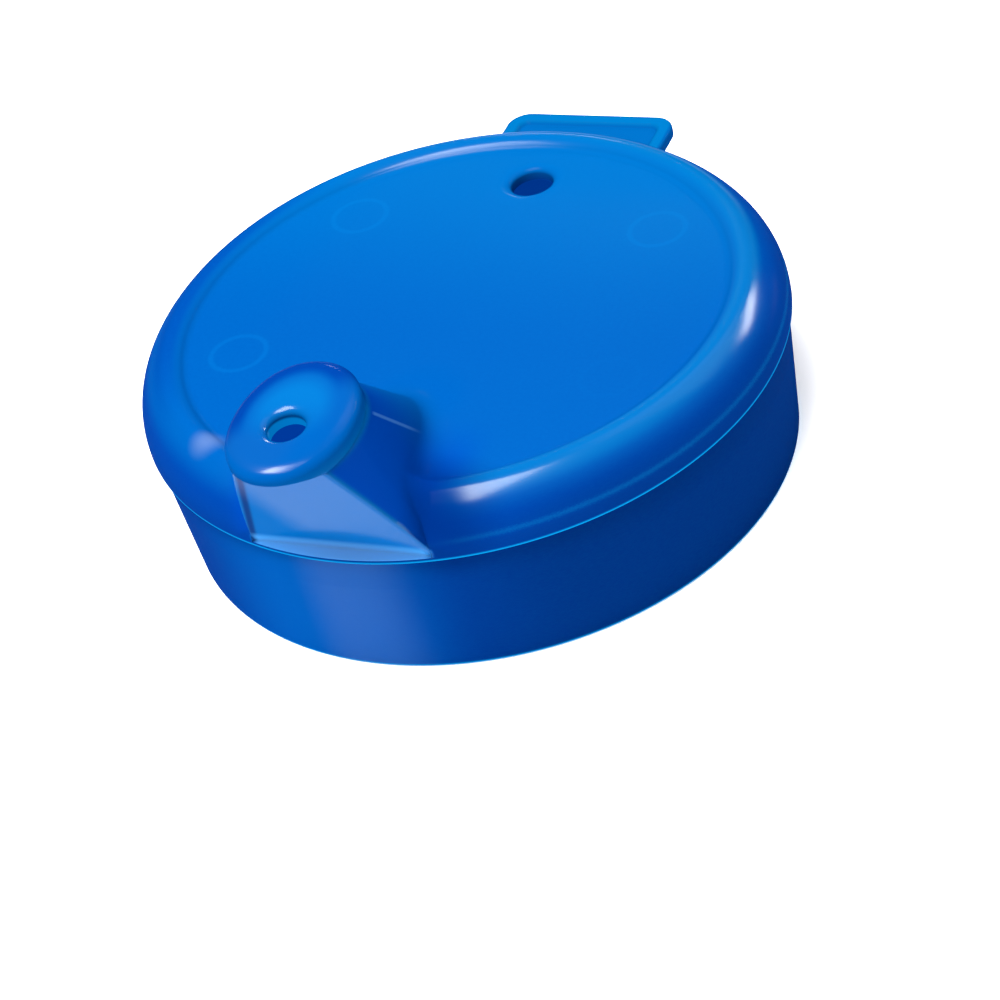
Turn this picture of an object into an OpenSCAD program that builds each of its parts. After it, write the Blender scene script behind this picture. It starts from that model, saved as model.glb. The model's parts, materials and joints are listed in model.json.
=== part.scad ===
// Spouted lid of a drinking beaker: one thin polypropylene moulding, modelled as its working regions.
// The regions meet face to face. Millimetres, +Z up, drinking spout towards -Y, pull tab towards +Y.
// The origin is on the lid's axis, in the plane where the lip sits on the beaker's rim.

/* [Lip and wall] */
// Outer diameter of the lip
lip_d = 74; // [70:0.5:78]
// Thickness of the lip's edge
lip_h = 0.6; // [0.5:0.1:0.7]
// Wall thickness of the moulding
wall = 1.6; // [1.4:0.1:1.8]

/* [Plug skirt] */
// Depth of the skirt that plugs into the beaker
skirt_h = 16; // [13:0.5:18]
// Width of the ledge that rests on the beaker's rim
ledge_w = 0.8; // [0.6:0.1:1]
// Height of the straight sealing band below the ledge
band_h = 4; // [3:0.5:5]
// How much the skirt's radius shrinks from the band to its lower edge
skirt_taper = 0.9; // [0.6:0.1:1.1]
// Thickness of the skirt at its lower edge
skirt_edge = 1.2; // [1:0.1:1.4]

/* [Rim] */
// Height of the rim's crest above the ledge
rim_h = 6.6; // [6.4:0.1:6.9]
// Distance from the lip's edge in to the crest
crest_in = 4.4; // [4.2:0.1:4.5]
// Rounding radius of the crest
crest_r = 2; // [1.9:0.1:2.1]
// Depth of the top panel below the crest
panel_drop = 0.95; // [0.85:0.05:1.05]

/* [Spout] */
// Height of the spout's top face above the ledge
spout_h = 19.9; // [18:0.1:22]
// Width of the mouthpiece
mouth_w = 13.6; // [12:0.1:15]
// Front-to-back length of the mouthpiece
mouth_l = 17.4; // [16:0.1:18]
// Thickness of the mouthpiece
mouth_t = 2.6; // [2.5:0.1:3]
// Distance of the mouthpiece's centre from the lid's axis
mouth_out = 36.7; // [36.3:0.1:37.2]
// Forward tilt of the mouthpiece, degrees
mouth_tilt = 5.5; // [3:0.5:7]
// Forward lean of the flat front face, degrees
face_lean = 23.3; // [22:0.1:24.5]
// Width of the flat front face where it meets the lip
face_w = 21.5; // [20.5:0.1:22.5]

/* [Holes] */
// Diameter of the drinking hole
drink_d = 4.1; // [3.5:0.1:4.5]
// Distance of the drinking hole forward of the mouthpiece's centre
drink_fwd = 1.45; // [1:0.05:1.8]
// Diameter of the air vent
vent_d = 5; // [4:0.1:5.5]
// Distance of the air vent from the lid's axis
vent_out = 24.6; // [22:0.1:25]

/* [Pull tab] */
// Width of the pull tab
tab_w = 21.4; // [18:0.1:23]
// How far the tab stands out past the lip
tab_reach = 7.4; // [6:0.1:9]
// Thickness of the tab's plate
tab_t = 1.1; // [1:0.1:1.3]
// Height of the grip bead on the tab's edge
bead_h = 0.5; // [0.4:0.1:0.6]
// Width of the grip bead
bead_w = 2; // [1.6:0.1:2.4]
// Corner radius of the tab
tab_corner = 2.6; // [2.4:0.1:3.5]

/* [Hidden] */
$fn = 96;

lid_blue = "royalblue";
eps = 0.01;
over = 1;
big = 120;
steps = 10;

lip_r = lip_d / 2;
band_r = lip_r - ledge_w;
skirt_r = band_r - skirt_taper;
cave_r = skirt_r - skirt_edge;
edge_share = 0.3;
edge_r = skirt_edge * edge_share;

crest_rc = lip_r - crest_in;
crest_zc = rim_h - crest_r;
panel_top = rim_h - panel_drop;
panel_bot = panel_top - wall;
panel_gap = 0.4;
panel_r = crest_rc - crest_r - panel_gap;

// Shoulder: an ellipse that leaves the lip upright and meets the crest's circle in line
crest_join = 56;
join_in = lip_r - crest_rc - crest_r * cos(crest_join);
join_up = rim_h - crest_r * (1 - sin(crest_join)) - lip_h;
join_pull = join_up * tan(crest_join);
join_r = lip_r - join_in;
shoulder_a = join_in * (join_in - join_pull) / (2 * join_in - join_pull);
shoulder_end = acos(1 - join_in / shoulder_a);
shoulder_b = join_up / sin(shoulder_end);
shoulder_rc = lip_r - shoulder_a;
function shoulder_line(inset, from, to) = [for (k = [0:steps]) let (t = from + (to - from) * k / steps)
    [shoulder_rc + (shoulder_a - inset) * cos(t), lip_h + (shoulder_b - inset) * sin(t)]];
cave_start = acos((cave_r - shoulder_rc) / (shoulder_a - wall));

// An arc round a point of the profile
function arc(r, z, size, from, to) = [for (k = [0:steps]) let (t = from + (to - from) * k / steps)
    [r + size * cos(t), z + size * sin(t)]];

// Crest: from the shoulder over the top, then a hollow fillet down to the panel
crest_end = 135;
fillet_r = (crest_zc + crest_r * sin(crest_end) - panel_top) / (1 + cos(crest_end));
fillet_rc = crest_rc + (crest_r + fillet_r) * cos(crest_end);
fillet_zc = panel_top + fillet_r;

vent_fillet = 1.2;
vent_r = vent_d / 2;
vent_rim_r = vent_r + vent_fillet;
vent_flat = 0.6;
vent_collar_r = vent_rim_r + vent_flat;
vent_dip_share = 0.45;
vent_dip = wall * vent_dip_share;

mark_r = 3.2;
mark_share = 0.668;
mark_pitch = lip_r * mark_share;
mark_depth = 0.1;
mark_turns = [49, 115, -49, -115];

mouth_square = 2.1;
mouth_roll_w = 2;
mouth_roll_h = 1.3;
mouth_under = 0.15;
under_front_w = 3;
under_front_h = 1;
under_from = 0.55;
mouth_z = spout_h - mouth_t;
mouth_floor = 2;
neck_in = 0.15;
roll_turn = 18;
drink_r = drink_d / 2;
drink_dish = 1.1;
drink_dish_h = 0.8;
drink_flat = 0.4;
drink_collar_r = drink_r + drink_dish + drink_flat;

foot_square = 2.8;
foot_narrow = 0.42;
foot_slack = 0.05;
foot_a = face_w / 2 + foot_slack;
foot_out_share = 0.92;
foot_back_share = 0.62;
foot_front_share = 0.2;
foot_y = -lip_r * foot_out_share;
foot_back = lip_r * foot_back_share;
foot_front = lip_r * foot_front_share;
face_set = 0.15;
face_y = face_set - sqrt(lip_r * lip_r - face_w * face_w / 4);
face_t = wall / cos(face_lean);

tab_edge_y = lip_r + tab_reach;
tab_root_r = band_r - ledge_w;

// Points of an oval: half width a, half depths back (+y) and front (-y), squareness n
ring_points = 64;
function oval_reach(c, n) = sign(c) * pow(abs(c), 2 / n);
function oval(a, back, front, n) = [for (k = [0:ring_points - 1])
    let (t = 360 * k / ring_points)
    [a * oval_reach(cos(t), n), (sin(t) > 0 ? back : front) * oval_reach(sin(t), n)]];

// The spout's foot: an oval whose back half narrows, inset by w
function foot_oval(w) = [for (p = oval(foot_a - w, foot_back - w, foot_front - w, foot_square))
    [p[0] * (1 - foot_narrow * max(p[1], 0) / (foot_back - w)), p[1]]];

module slab(a, back, front, n, h = eps) {
    linear_extrude(h) polygon(oval(a, back, front, n));
}

// Frame of the tilted mouthpiece: its underside is z = 0 here
module on_mouth(h = 0) {
    translate([0, -mouth_out, mouth_z]) rotate([mouth_tilt, 0, 0]) translate([0, 0, h]) children();
}

// The spout's tapering column, inset by w on every side
module column(w, drop) {
    hull() {
        translate([0, foot_y, lip_h - drop]) linear_extrude(eps) polygon(foot_oval(w));
        on_mouth(-eps) slab(mouth_w / 2 - neck_in - w, mouth_l / 2 - neck_in - w, mouth_l / 2 - neck_in - w,
                            mouth_square);
    }
}

// Everything in front of the flat face, moved back by w
module front_of_face(w) {
    translate([0, face_y + w, lip_h]) rotate([face_lean, 0, 0])
        translate([-big / 2, -big, -big / 2]) cube([big, big, big]);
}

// Air under the lid: inside the skirt, the rim and the top panel
module cave() {
    rotate_extrude() polygon(concat(
        [[0, -skirt_h - over], [cave_r, -skirt_h - over]],
        shoulder_line(wall, cave_start, shoulder_end),
        [[panel_r, panel_bot], [0, panel_bot]]
    ));
}

// The lid's outer skin of revolution, filled solid
module skin() {
    rotate_extrude() polygon(concat(
        [[0, 0], [lip_r, 0]],
        shoulder_line(0, 0, shoulder_end),
        arc(crest_rc, crest_zc, crest_r, crest_join, crest_end),
        arc(fillet_rc, fillet_zc, fillet_r, crest_end - 180, -90),
        [[0, panel_top]]
    ));
}

module plug_skirt() {
    color(lid_blue) rotate_extrude() polygon([
        [band_r, 0], [cave_r, 0], [cave_r, -skirt_h], [skirt_r - edge_r, -skirt_h],
        [skirt_r, -skirt_h + edge_r], [band_r, -band_h]
    ]);
}

module lip_flange() {
    color(lid_blue) rotate_extrude() polygon([[cave_r, 0], [lip_r, 0], [lip_r, lip_h], [cave_r, lip_h]]);
}

// A ring of the lid's skin between two radii, with the spout's column taken out
module skin_ring(r_in, r_out) {
    difference() {
        intersection() {
            skin();
            translate([0, 0, lip_h]) difference() {
                cylinder(r = r_out, h = rim_h);
                translate([0, 0, -over]) cylinder(r = r_in, h = rim_h + 2 * over);
            }
        }
        cave();
        column(0, over);
    }
}

module rim_shoulder() {
    color(lid_blue) skin_ring(join_r, lip_r + over);
}

module rim_crest() {
    color(lid_blue) skin_ring(panel_r, join_r);
}

module top_panel() {
    color(lid_blue) difference() {
        translate([0, 0, panel_bot]) cylinder(r = panel_r, h = wall);
        column(0, over);
        translate([0, vent_out, panel_bot - over]) cylinder(r = vent_collar_r, h = wall + 2 * over);
        for (turn = mark_turns) rotate(turn) translate([0, mark_pitch, panel_bot - eps])
            cylinder(r = mark_r, h = mark_depth + eps);
    }
}

module vent_collar() {
    dish = [for (k = [0:steps]) let (t = 90 * k / steps)
        [vent_rim_r - vent_fillet * sin(t), wall - vent_dip * (1 - cos(t))]];
    color(lid_blue) translate([0, vent_out, panel_bot]) rotate_extrude()
        polygon(concat([[vent_r, 0], [vent_collar_r, 0], [vent_collar_r, wall]], dish));
}

// The column's wall, open below and down to the lid's skin
module column_wall() {
    difference() {
        column(0, 0);
        difference() {
            column(wall, 2 * over);
            front_of_face(face_t);
        }
        cave();
    }
}

module spout_body() {
    color(lid_blue) difference() {
        column_wall();
        front_of_face(face_t);
    }
}

module spout_face() {
    color(lid_blue) difference() {
        intersection() {
            column(0, 0);
            front_of_face(face_t);
        }
        front_of_face(0);
        cave();
    }
}

// A closed solid through a stack of rings that have the same number of points
function corner(j, i, n) = j * n + i % n;
module loft(rings) {
    n = len(rings[0]);
    top = len(rings) - 1;
    polyhedron(
        points = [for (ring = rings) each ring],
        faces = concat(
            [[for (i = [0:n - 1]) i]],
            [for (j = [0:top - 1], i = [0:n - 1])
                [corner(j, i, n), corner(j + 1, i, n), corner(j + 1, i + 1, n)]],
            [for (j = [0:top - 1], i = [0:n - 1])
                [corner(j, i, n), corner(j + 1, i + 1, n), corner(j, i + 1, n)]],
            [[for (i = [n - 1:-1:0]) corner(top, i, n)]]
        )
    );
}

// Mouthpiece: an oval cap with a rolled upper edge, rounded under where it stands out past the flat face
function mouth_oval(in) = oval(mouth_w / 2 - in, mouth_l / 2 - in, mouth_l / 2 - in, mouth_square);
function mouth_ring(in, z) = [for (p = mouth_oval(in)) [p[0], p[1], z]];
function ahead(k) = max(0, (-sin(360 * k / ring_points) - under_from) / (1 - under_from));
function under_share(k) = ahead(k) * ahead(k) * (3 - 2 * ahead(k));
function under_point(k, t) =
    let (p = mouth_oval((mouth_under + under_front_w * under_share(k)) * (1 - cos(t)))[k])
    [p[0], p[1], (mouth_under + under_front_h * under_share(k)) * (1 - sin(t))];
function under_ring(t) = [for (k = [0:ring_points - 1]) under_point(k, t)];
function roll_ring(t) = mouth_ring(mouth_roll_w * (1 - cos(t)), mouth_t - mouth_roll_h * (1 - sin(t)));
module mouthpiece_blank() {
    loft(concat(
        [for (t = [90:-roll_turn:0]) under_ring(t)],
        [for (t = [0:roll_turn:90]) roll_ring(t)]
    ));
}

module spout_mouthpiece() {
    inner = neck_in + wall;
    color(lid_blue) on_mouth() difference() {
        mouthpiece_blank();
        translate([0, 0, -over])
            slab(mouth_w / 2 - inner, mouth_l / 2 - inner, mouth_l / 2 - inner - wall, mouth_square,
                 mouth_t - mouth_floor + over);
        translate([0, -drink_fwd, -over]) cylinder(r = drink_collar_r, h = mouth_t + 2 * over);
    }
}

module drink_collar() {
    dish = [for (k = [0:steps]) let (t = 90 * k / steps)
        [drink_r + drink_dish - drink_dish * sin(t), mouth_floor - drink_dish_h * (1 - cos(t))]];
    color(lid_blue) on_mouth(mouth_t - mouth_floor) translate([0, -drink_fwd, 0]) rotate_extrude()
        polygon(concat([[drink_r, 0], [drink_collar_r, 0], [drink_collar_r, mouth_floor]], dish));
}

// Tab outline, inset by w, with round outer corners
module tab_outline(w) {
    r = tab_corner - w;
    x = tab_w / 2 - tab_corner;
    y = tab_edge_y - tab_corner;
    union() {
        for (side = [-1, 1]) translate([side * x, y]) circle(r = r);
        translate([-x, 0]) square([2 * x, y + r]);
        translate([-x - r, 0]) square([2 * (x + r), y]);
    }
}

module pull_tab() {
    color(lid_blue) difference() {
        linear_extrude(tab_t) tab_outline(0);
        skin();
        translate([0, 0, -over]) cylinder(r = tab_root_r, h = tab_t + 2 * over);
    }
}

module tab_grip_bead() {
    color(lid_blue) difference() {
        translate([0, 0, tab_t]) linear_extrude(bead_h) difference() {
            tab_outline(0);
            tab_outline(bead_w);
        }
        skin();
        translate([0, 0, -over]) cylinder(r = lip_r + over, h = tab_t + bead_h + 2 * over);
    }
}

plug_skirt();
lip_flange();
rim_shoulder();
rim_crest();
top_panel();
vent_collar();
spout_body();
spout_face();
spout_mouthpiece();
drink_collar();
pull_tab();
tab_grip_bead();
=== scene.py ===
import json
import math

import bmesh
import bpy
import numpy as np
from mathutils import Matrix, Vector


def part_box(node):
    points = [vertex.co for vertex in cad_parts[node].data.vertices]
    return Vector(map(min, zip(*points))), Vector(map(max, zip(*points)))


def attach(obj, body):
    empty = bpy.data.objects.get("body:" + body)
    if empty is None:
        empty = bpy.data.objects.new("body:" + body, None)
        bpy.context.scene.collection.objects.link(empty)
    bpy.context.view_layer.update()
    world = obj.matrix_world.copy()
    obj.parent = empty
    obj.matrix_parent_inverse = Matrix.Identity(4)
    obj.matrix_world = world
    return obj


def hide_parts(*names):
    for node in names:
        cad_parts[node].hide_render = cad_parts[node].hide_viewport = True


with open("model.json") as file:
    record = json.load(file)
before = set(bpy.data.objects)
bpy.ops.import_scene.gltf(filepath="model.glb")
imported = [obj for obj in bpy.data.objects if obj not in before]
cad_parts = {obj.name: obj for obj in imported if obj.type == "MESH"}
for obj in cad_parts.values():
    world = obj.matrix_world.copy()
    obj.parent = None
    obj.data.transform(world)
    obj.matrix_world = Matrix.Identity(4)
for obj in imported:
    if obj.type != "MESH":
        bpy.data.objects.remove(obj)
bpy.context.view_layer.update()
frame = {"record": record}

MM = 0.001
AROUND = np.array([0.0, 0.0, 1.0])


# ---------------------------------------------------------------- sizes read off the frame, in millimetres

def node_box(node):
    low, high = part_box(node)
    return np.array(low) / MM, np.array(high) / MM


def mount(name):
    """A mount's place in millimetres, its axis, and its radius and length."""
    row = next(m for m in frame["record"]["mounts"] if m["name"] == name)
    dims = row["dims"]
    return np.array(row["pos_m"]) / MM, np.array(row["axis"]), dims["r_mm"], dims["length_mm"]


lip_high = node_box("lip_flange")[1]
crest_high = node_box("rim_crest")[1]
panel_low, panel_high = node_box("top_panel")
mouth_low, mouth_high = node_box("spout_mouthpiece")
tab_low, tab_high = node_box("pull_tab")
bead_low, bead_high = node_box("tab_grip_bead")
drink_at, drink_axis, drink_r, drink_wall = mount("drink_hole")
vent_at, _, vent_r, _ = mount("air_vent")

LIP_R, LIP_H = lip_high[0], lip_high[2]
BAND_R, BAND_H = mount("plug")[2:]
FOOT_Z = node_box("plug_skirt")[0][2]
PANEL_R, PANEL_BOT, PANEL_TOP = panel_high[0], panel_low[2], panel_high[2]
WALL = PANEL_TOP - PANEL_BOT
TINY = 1e-12

# The moulding's own shape values
SKIRT_TAPER = 0.9
SKIRT_EDGE = 1.2
FOOT_ROUND = 0.36
CAVE_R = BAND_R - SKIRT_TAPER - SKIRT_EDGE
CREST_R = 2.0
CREST_IN = 4.4
CREST_AT = LIP_R - CREST_IN
CREST_JOIN = 56.0
CREST_END = 135.0
CAVE_JOIN = 50.0
FILLET_STEPS, CREST_STEPS, SHOULDER_STEPS, CAVE_STEPS = 10, 22, 30, 12

# Spout: the column between its foot at the lip's height and its neck under the mouthpiece
MOUTH_HALF = (mouth_high[0] - mouth_low[0]) / 2
MOUTH_TILT = math.atan2(-drink_axis[1], drink_axis[2])
MOUTH_T = 2.6
MOUTH_LONG = 8.7
MOUTH_FLOOR = 2.0
MOUTH_ROLL = (2.0, 1.3)
MOUTH_UNDER = 0.15
MOUTH_UNDER_FRONT = (3.0, 1.0)
MOUTH_UNDER_FROM = 0.55
MOUTH_SQUARE = 2.1
DRINK_DISH = (1.1, 0.8)
DRINK_FLAT = 0.4
DRINK_FORWARD = 1.45
NECK_IN = 0.15
NECK_FLARE = 0.05
FACE_LEAN = math.radians(23.3)
FACE_HALF = 10.75
FACE_SET = 0.15
FACE_THICKER = 1.05
FACE_Y = FACE_SET - math.sqrt(LIP_R ** 2 - FACE_HALF ** 2)
FOOT_SLACK = 0.05
FOOT_HALF = FACE_HALF + FOOT_SLACK
FOOT_OUT_SHARE, FOOT_BACK_SHARE, FOOT_FRONT_SHARE = 0.92, 0.62, 0.2
FOOT_Y = -LIP_R * FOOT_OUT_SHARE
FOOT_BACK = LIP_R * FOOT_BACK_SHARE
FOOT_FRONT = LIP_R * FOOT_FRONT_SHARE
COLUMN_SQUARE = 2.8
FOOT_NARROW = 0.42
SIDE, FRONT = 300, 44
OUTLINE_POINTS = 721
FRONT_EVEN = 0.45

# Fillet round the spout's foot: how far it reaches at the back, the sides and the flat face
BACK_BLEND, SIDE_BLEND, FACE_BLEND = 2.3, 3.6, 0.4
BLEND_CHANGE = (-27.0, -20.0)
BLEND_TURN = 4.0
BLEND_START, BLEND_GROWTH = 0.12, 0.6
LIP_ROOM = 0.8
LIP_COVER = 0.05


# -------------------------------------------------------- profiles: rows of r, z and the outward normal

def arc(centre, size, start, end, steps, hollow=False):
    """An elliptic arc in the r-z plane, in degrees; hollow turns its normals inwards."""
    turn = np.radians(np.linspace(start, end, steps + 1))
    a, b = size
    points = np.stack([centre[0] + a * np.cos(turn), centre[1] + b * np.sin(turn)], 1)
    normals = np.stack([np.cos(turn) / a, np.sin(turn) / b], 1)
    normals /= np.linalg.norm(normals, axis=1)[:, None]
    return np.hstack([points, -normals if hollow else normals])


def line(start, end, steps=1):
    """A straight stretch; walking it clockwise round a solid puts the normal outside."""
    share = np.linspace(0, 1, steps + 1)[:, None]
    start, end = np.array(start, float), np.array(end, float)
    along = (end - start) / np.linalg.norm(end - start)
    return np.hstack([start + share * (end - start), np.tile([-along[1], along[0]], (steps + 1, 1))])


def shoulder_size():
    """Half axes of the ellipse that leaves the lip upright and meets the crest's circle in line."""
    join = math.radians(CREST_JOIN)
    across = LIP_R - CREST_AT - CREST_R * math.cos(join)
    up = crest_high[2] - CREST_R * (1 - math.sin(join)) - LIP_H
    pull = up * math.tan(join)
    a = across * (across - pull) / (2 * across - pull)
    return a, up / math.sqrt(1 - (1 - across / a) ** 2), math.degrees(math.acos(1 - across / a))


SHOULDER_A, SHOULDER_B, SHOULDER_END = shoulder_size()
SHOULDER_AT = LIP_R - SHOULDER_A
CREST_Z = crest_high[2] - CREST_R


def panel_fillet():
    turn = math.radians(CREST_END)
    meet = np.array([CREST_AT + CREST_R * math.cos(turn), CREST_Z + CREST_R * math.sin(turn)])
    radius = (meet[1] - PANEL_TOP) / (1 + math.cos(turn))
    centre = meet + radius * np.array([math.cos(turn), math.sin(turn)])
    return arc(centre, (radius, radius), -90, CREST_END - 180, FILLET_STEPS, hollow=True)


crest_skin = np.vstack([
    panel_fillet(),
    arc((CREST_AT, CREST_Z), (CREST_R, CREST_R), CREST_END, CREST_JOIN, CREST_STEPS),
])
shoulder_skin = arc((SHOULDER_AT, LIP_H), (SHOULDER_A, SHOULDER_B), SHOULDER_END, 0, SHOULDER_STEPS)
skin = np.vstack([line((0, PANEL_TOP), (crest_skin[0, 0], PANEL_TOP)), crest_skin, shoulder_skin])

cave_start = math.degrees(math.acos((CAVE_R - SHOULDER_AT) / (SHOULDER_A - WALL)))
cave_shoulder = arc((SHOULDER_AT, LIP_H), (SHOULDER_A - WALL, SHOULDER_B - WALL), cave_start, CAVE_JOIN,
                    CAVE_STEPS, hollow=True)
cave_skin = np.vstack([cave_shoulder, line(cave_shoulder[-1, :2], (PANEL_R, PANEL_BOT))])


def skin_height(r):
    return np.interp(r, skin[:, 0], skin[:, 1], right=LIP_H)


def skin_normal(points):
    """Outward normals of the lid's outer skin under the given points."""
    r = np.hypot(points[:, 0], points[:, 1])
    out = np.interp(r, skin[:, 0], skin[:, 2])
    up = np.interp(r, skin[:, 0], skin[:, 3])
    return unit(np.stack([points[:, 0] / r * out, points[:, 1] / r * out, up], 1))


def cave_height(r):
    return np.interp(r, cave_skin[::-1, 0], cave_skin[::-1, 1])


# ---------------------------------------------------------------- bands: grids of points with their normals

def unit(vectors):
    return vectors / np.maximum(np.linalg.norm(vectors, axis=-1, keepdims=True), TINY)


def grid_normals(grid, ring=True):
    """Smooth normals of a grid of rows and columns; ring means its columns run in a closed loop."""
    rows = np.gradient(grid, axis=0)
    if ring:
        columns = (np.roll(grid, -1, 1) - np.roll(grid, 1, 1)) / 2
    else:
        columns = np.gradient(grid, axis=1)
    return unit(np.cross(rows, columns))


def close_ring(grid):
    return np.concatenate([grid, grid[:, :1]], 1)


def smooth_band(grid, ring=True):
    normals = grid_normals(grid, ring)
    return (close_ring(grid), close_ring(normals)) if ring else (grid, normals)


def flat_band(grid, ring=True):
    return (close_ring(grid) if ring else grid), None


def turned(profile, turns):
    """A profile swept round the lid's axis; turns has one row of angles for every row of the profile."""
    r, z, out, up = (profile[:, k, None] for k in range(4))
    points = np.stack([r * np.cos(turns), r * np.sin(turns), z + 0 * turns], 2)
    normals = np.stack([out * np.cos(turns), out * np.sin(turns), up + 0 * turns], 2)
    return points, normals


def band_faces(points, normals):
    """Every quad of a band as four corners with four normals; None asks for the quad's own flat normal."""
    quads = [points[:-1, :-1], points[1:, :-1], points[1:, 1:], points[:-1, 1:]]
    corners = np.stack([q.reshape(-1, 3) for q in quads], 1)
    if normals is not None:
        shade = [normals[:-1, :-1], normals[1:, :-1], normals[1:, 1:], normals[:-1, 1:]]
        return corners, np.stack([s.reshape(-1, 3) for s in shade], 1)
    flat = unit(np.cross(corners[:, 2] - corners[:, 0], corners[:, 3] - corners[:, 1]))
    return corners, np.repeat(flat[:, None], 4, 1)


def polygon_normal(points):
    after = np.roll(points, -1, 0)
    return unit(np.cross(points, after).sum(0))


def build(name, bands, polygons=(), shift=(0, 0, 0), hollow=()):
    """One closed piece from bands and flat polygons; meeting corners are shared and slivers dropped."""
    corners, shades = zip(*[band_faces(*band) for band in bands])
    loose = np.concatenate([c.reshape(-1, 3) for c in corners] + [np.asarray(p) for p in polygons])
    keys, index = np.unique(np.round(loose, 4), axis=0, return_inverse=True)
    index = index.reshape(-1)
    places = np.zeros_like(keys)
    places[index] = loose
    quads = index[:sum(len(c) for c in corners) * 4].reshape(-1, 4)
    shade = np.concatenate(shades)
    faces, normals, slots = [], [], []
    band_of = np.repeat(np.arange(len(bands)), [len(c) for c in corners])
    for quad, four, band in zip(quads.tolist(), shade, band_of.tolist()):
        keep = [k for k in range(4) if quad[k] != quad[k - 1]]
        if len(keep) > 2 and len(set(quad)) == len(keep):
            faces.append([quad[k] for k in keep])
            normals.extend(four[keep])
            slots.append(int(band in hollow))
    start = len(quads) * 4
    for polygon in polygons:
        ids = index[start:start + len(polygon)].tolist()
        ids = [v for k, v in enumerate(ids) if v != ids[k - 1]]
        start += len(polygon)
        faces.append(ids)
        slots.append(0)
        normals.extend([polygon_normal(np.asarray(polygon))] * len(ids))
    mesh = bpy.data.meshes.new(name)
    mesh.from_pydata(((places + shift) * MM).tolist(), [], faces)
    mesh.polygons.foreach_set("use_smooth", [True] * len(faces))
    mesh.polygons.foreach_set("material_index", slots)
    mesh.normals_split_custom_set([tuple(n) for n in normals])
    mesh.validate()
    mesh.update()
    piece = bpy.data.objects.new(name, mesh)
    bpy.context.scene.collection.objects.link(piece)
    return piece


def place(piece, materials, *nodes):
    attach(piece, "root")
    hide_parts(*nodes)
    for slot, finish in enumerate(materials):
        piece.data.materials.append(finish)
    return piece


# ---------------------------------------------------------------- the spout's outlines

def oval(half, back, front, square, turn):
    c, s = np.cos(turn), np.sin(turn)
    x = half * np.sign(c) * np.abs(c) ** (2 / square)
    y = np.where(s > 0, back, front) * np.sign(s) * np.abs(s) ** (2 / square)
    return np.stack([x, y, 0 * x], 1)


mouth_back = np.array([0.0, math.cos(MOUTH_TILT), math.sin(MOUTH_TILT)])
mouth_up = np.array([0.0, -math.sin(MOUTH_TILT), math.cos(MOUTH_TILT)])
mouth_at = drink_at + mouth_back * DRINK_FORWARD - mouth_up * (MOUTH_T - MOUTH_FLOOR + drink_wall / 2)


def on_mouth(points):
    """From the mouthpiece's own frame, whose underside is at height 0, to the lid's."""
    points = np.asarray(points)
    across = points[..., :1] * np.array([1.0, 0, 0])
    return mouth_at + across + points[..., 1:2] * mouth_back + points[..., 2:3] * mouth_up


def by_length(points, count):
    """An open line of points, redrawn with equal steps along its length."""
    steps = np.linalg.norm(np.diff(points, axis=0), axis=1)
    length = np.concatenate([[0], np.cumsum(steps)])
    wanted = np.linspace(0, length[-1], count)
    return np.stack([np.interp(wanted, length, points[:, k]) for k in range(3)], 1)


def before_face(points, set_back):
    """How far points stand in front of the flat face's plane."""
    normal = np.array([0.0, -math.cos(FACE_LEAN), -math.sin(FACE_LEAN)])
    return (points - np.array([0, FACE_Y + set_back, LIP_H])) @ normal


def column_ring(share, inset):
    """The column's outline at a share of its height, cut off by the flat face: side, then front points."""
    turn = np.radians(np.linspace(-90, 270, OUTLINE_POINTS))
    foot = oval(FOOT_HALF - inset, FOOT_BACK - inset, FOOT_FRONT - inset, COLUMN_SQUARE, turn)
    foot[:, 0] *= 1 - FOOT_NARROW * np.maximum(foot[:, 1], 0) / (FOOT_BACK - inset)
    foot += [0, FOOT_Y, LIP_H]
    neck_long = MOUTH_LONG - NECK_IN - inset
    neck = on_mouth(oval(MOUTH_HALF - NECK_IN - inset, neck_long, neck_long, MOUTH_SQUARE, turn))
    points = foot * (1 - share) + neck * share
    front = before_face(points, inset * FACE_THICKER)
    kept = np.flatnonzero(front <= 0)
    first, last = kept[0], kept[-1]

    def corner(inside, outside):
        part = front[inside] / (front[inside] - front[outside])
        return points[inside] * (1 - part) + points[outside] * part

    side = np.vstack([corner(first, first - 1), points[first:last + 1], corner(last, last + 1)])
    side = by_length(side, SIDE + 1)
    even = np.linspace(0, 1, FRONT + 1)
    eased = FRONT_EVEN * even + (1 - FRONT_EVEN) * (1 - np.cos(np.pi * even)) / 2
    face = side[-1] + eased[1:-1, None] * (side[0] - side[-1])
    return soften(np.vstack([side, face]))


def soften(ring, reach=2, passes=3):
    """Rounds the two upright corners of the flat face."""
    near = np.zeros(len(ring), bool)
    for step in range(-reach, reach + 1):
        near[[step % len(ring), (SIDE + step) % len(ring)]] = True
    for _ in range(passes):
        mean = (np.roll(ring, 1, 0) + 2 * ring + np.roll(ring, -1, 0)) / 4
        ring = np.where(near[:, None], mean, ring)
    return ring


COLUMN_STEPS = 90
shares = np.linspace(0, 1, COLUMN_STEPS + 1)
outer_column = np.stack([column_ring(s, 0) for s in shares])
inner_column = np.stack([column_ring(s, WALL) for s in shares])


def at_share(column, share):
    """Points of a column at one share of the height per point, share having rows of one value a column."""
    scaled = np.clip(share, 0, 1) * COLUMN_STEPS
    low = np.minimum(scaled.astype(int), COLUMN_STEPS - 1)
    part = (scaled - low)[..., None]
    index = np.arange(column.shape[1])
    return column[low, index] * (1 - part) + column[low + 1, index] * part


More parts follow.
